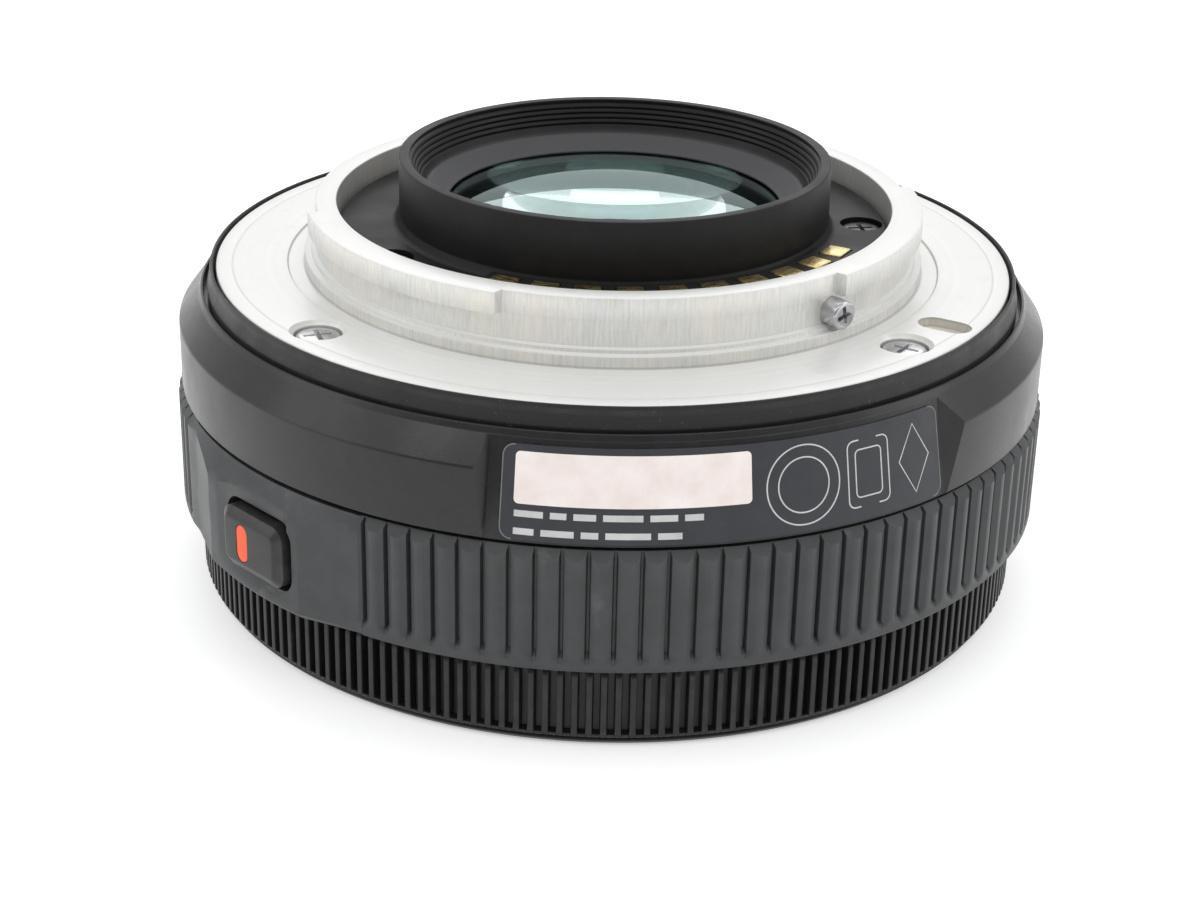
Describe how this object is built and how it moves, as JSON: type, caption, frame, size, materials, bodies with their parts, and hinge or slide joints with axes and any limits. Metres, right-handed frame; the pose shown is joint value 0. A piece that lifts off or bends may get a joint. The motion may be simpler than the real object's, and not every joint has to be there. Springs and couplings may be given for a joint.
{
  "type": "pancake prime camera lens",
  "caption": "Slim autofocus prime lens with bayonet mount, clicked aperture ring with a lock button, ribbed focus ring, moving focus unit and iris.",
  "frame": {"origin": "on the optical axis in the plane of the front rim, which the lens stands on", "axes": "+Z along the optical axis to the camera side, +X to the right of the pictured side, +Y away from it"},
  "size_m": [0.062, 0.062, 0.0303],
  "materials": {
    "mount_metal": "satin plated metal, finely turned",
    "screw_steel": "bright plated steel",
    "seal_rubber": "soft black rubber with a slight sheen",
    "barrel_black": "semi-matt black paint",
    "ring_grey": "matt charcoal anodised metal",
    "ring_black": "black anodised metal, fine ribs",
    "baffle_black": "deep matt black",
    "label_grey": "dark grey printed plate",
    "button_black": "satin black plastic",
    "mark_orange": "orange-red paint fill",
    "mark_red": "red plastic bead",
    "contact_gold": "gold plated",
    "optical_glass": "coated optical glass, green-teal reflection",
    "chassis_black": "moulded black plastic",
    "cam_metal": "machined grey anodised metal",
    "gear_plastic": "off-white moulded plastic",
    "motor_steel": "drawn steel can",
    "spring_steel": "thin spring strip",
    "blade_black": "thin black coated sheet",
    "board_green": "solder-masked board"
  },
  "bodies": {
    "lens_body": {"mount_bayonet": "mount_metal", "mount_screw_1": "screw_steel", "mount_screw_2": "screw_steel", "mount_screw_3": "screw_steel", "mount_screw_4": "screw_steel", "mount_stop_pin": "screw_steel", "mount_shim": "screw_steel", "click_ball": "screw_steel", "mount_seal": "seal_rubber", "rear_barrel": "barrel_black", "name_ring": "barrel_black", "front_bezel": "ring_black", "rear_baffle": "baffle_black", "label_plate": "label_grey", "index_dot": "mark_red", "contact_pads": "contact_gold", "fixed_barrel": "chassis_black", "contact_block": "chassis_black", "baffle_screw_1": "chassis_black", "baffle_screw_2": "chassis_black", "baffle_screw_3": "chassis_black", "focus_sensor": "chassis_black", "focus_motor": "motor_steel", "gear_plate": "motor_steel", "click_spring": "spring_steel", "circuit_board": "board_green", "contact_flex": "board_green"},
    "aperture_ring": {"aperture_ring": "ring_grey", "lock_spring": "spring_steel"},
    "lock_button": {"lock_button": "button_black", "lock_mark": "mark_orange"},
    "focus_ring": {"focus_ring": "ring_black", "encoder_ring": "chassis_black"},
    "cam_ring": {"cam_ring": "cam_metal"},
    "focus_carriage": {"rear_cell": "chassis_black", "front_cell": "chassis_black", "front_retainer": "baffle_black", "lens_element_1": "optical_glass", "lens_element_2": "optical_glass", "lens_element_3": "optical_glass", "lens_element_4": "optical_glass", "lens_element_5": "optical_glass", "lens_element_6": "optical_glass", "lens_element_7": "optical_glass", "guide_roller_1": "cam_metal", "guide_roller_2": "cam_metal", "guide_roller_3": "cam_metal", "iris_base": "chassis_black", "iris_motor": "motor_steel"},
    "motor_pinion": {"motor_pinion": "cam_metal"},
    "idler_gear": {"idler_gear": "gear_plastic"},
    "iris_ring": {"iris_ring": "blade_black"},
    "iris_blade_1": {"iris_blade_1": "blade_black"},
    "iris_blade_2": {"iris_blade_2": "blade_black"},
    "iris_blade_3": {"iris_blade_3": "blade_black"},
    "iris_blade_4": {"iris_blade_4": "blade_black"},
    "iris_blade_5": {"iris_blade_5": "blade_black"},
    "iris_blade_6": {"iris_blade_6": "blade_black"},
    "iris_blade_7": {"iris_blade_7": "blade_black"}
  },
  "joints": [
    {"name": "aperture_turn", "type": "hinge", "parent": "lens_body", "child": "aperture_ring", "pos_m": [0, 0, 0.01], "axis": [0, 0, 1], "range_deg": [0, 57.6]},
    {"name": "lock_press", "type": "slide", "parent": "aperture_ring", "child": "lock_button", "axis": [0.723, 0.6909, 0], "range_m": [0, 0.0008], "stiffness_N_per_m": 600, "springref_m": -0.0005},
    {"name": "focus_turn", "type": "hinge", "parent": "lens_body", "child": "focus_ring", "pos_m": [0, 0, 0.003], "axis": [0, 0, 1], "continuous": true},
    {"name": "cam_turn", "type": "hinge", "parent": "lens_body", "child": "cam_ring", "pos_m": [0, 0, 0.012], "axis": [0, 0, 1], "range_deg": [0, 45]},
    {"name": "carriage_slide", "type": "slide", "parent": "lens_body", "child": "focus_carriage", "axis": [0, 0, -1], "range_m": [0, 0.0027]},
    {"name": "idler_turn", "type": "hinge", "parent": "lens_body", "child": "idler_gear", "pos_m": [-0.00391, 0.02206, 0.0152], "axis": [0, 0, 1], "range_deg": [-349, 0]},
    {"name": "pinion_turn", "type": "hinge", "parent": "lens_body", "child": "motor_pinion", "pos_m": [0, 0.0229, 0.0152], "axis": [0, 0, 1], "range_deg": [0, 620.1]},
    {"name": "iris_turn", "type": "hinge", "parent": "focus_carriage", "child": "iris_ring", "pos_m": [0, 0, 0.0124], "axis": [0, 0, 1], "range_deg": [0, 14]},
    {"name": "blade_turn_1", "type": "hinge", "parent": "focus_carriage", "child": "iris_blade_1", "pos_m": [0.0132, 0, 0.0137], "axis": [0, 0, 1], "range_deg": [0, 20]},
    {"name": "blade_turn_2", "type": "hinge", "parent": "focus_carriage", "child": "iris_blade_2", "pos_m": [0.00823, 0.01032, 0.0137], "axis": [0, 0, 1], "range_deg": [0, 20]},
    {"name": "blade_turn_3", "type": "hinge", "parent": "focus_carriage", "child": "iris_blade_3", "pos_m": [-0.00294, 0.01287, 0.0137], "axis": [0, 0, 1], "range_deg": [0, 20]},
    {"name": "blade_turn_4", "type": "hinge", "parent": "focus_carriage", "child": "iris_blade_4", "pos_m": [-0.01189, 0.00573, 0.0137], "axis": [0, 0, 1], "range_deg": [0, 20]},
    {"name": "blade_turn_5", "type": "hinge", "parent": "focus_carriage", "child": "iris_blade_5", "pos_m": [-0.01189, -0.00573, 0.0137], "axis": [0, 0, 1], "range_deg": [0, 20]},
    {"name": "blade_turn_6", "type": "hinge", "parent": "focus_carriage", "child": "iris_blade_6", "pos_m": [-0.00294, -0.01287, 0.0137], "axis": [0, 0, 1], "range_deg": [0, 20]},
    {"name": "blade_turn_7", "type": "hinge", "parent": "focus_carriage", "child": "iris_blade_7", "pos_m": [0.00823, -0.01032, 0.0137], "axis": [0, 0, 1], "range_deg": [0, 20]}
  ],
  "couplings": [
    {"joint": "cam_turn", "follows": "carriage_slide", "rad_per_m": 290.88},
    {"joint": "idler_turn", "follows": "carriage_slide", "rad_per_m": -2254.3},
    {"joint": "pinion_turn", "follows": "carriage_slide", "rad_per_m": 4007.7},
    {"joint": "blade_turn_1", "follows": "iris_turn", "ratio": 1.4285},
    {"joint": "blade_turn_2", "follows": "iris_turn", "ratio": 1.4285},
    {"joint": "blade_turn_3", "follows": "iris_turn", "ratio": 1.4285},
    {"joint": "blade_turn_4", "follows": "iris_turn", "ratio": 1.4285},
    {"joint": "blade_turn_5", "follows": "iris_turn", "ratio": 1.4285},
    {"joint": "blade_turn_6", "follows": "iris_turn", "ratio": 1.4285},
    {"joint": "blade_turn_7", "follows": "iris_turn", "ratio": 1.4285}
  ]
}
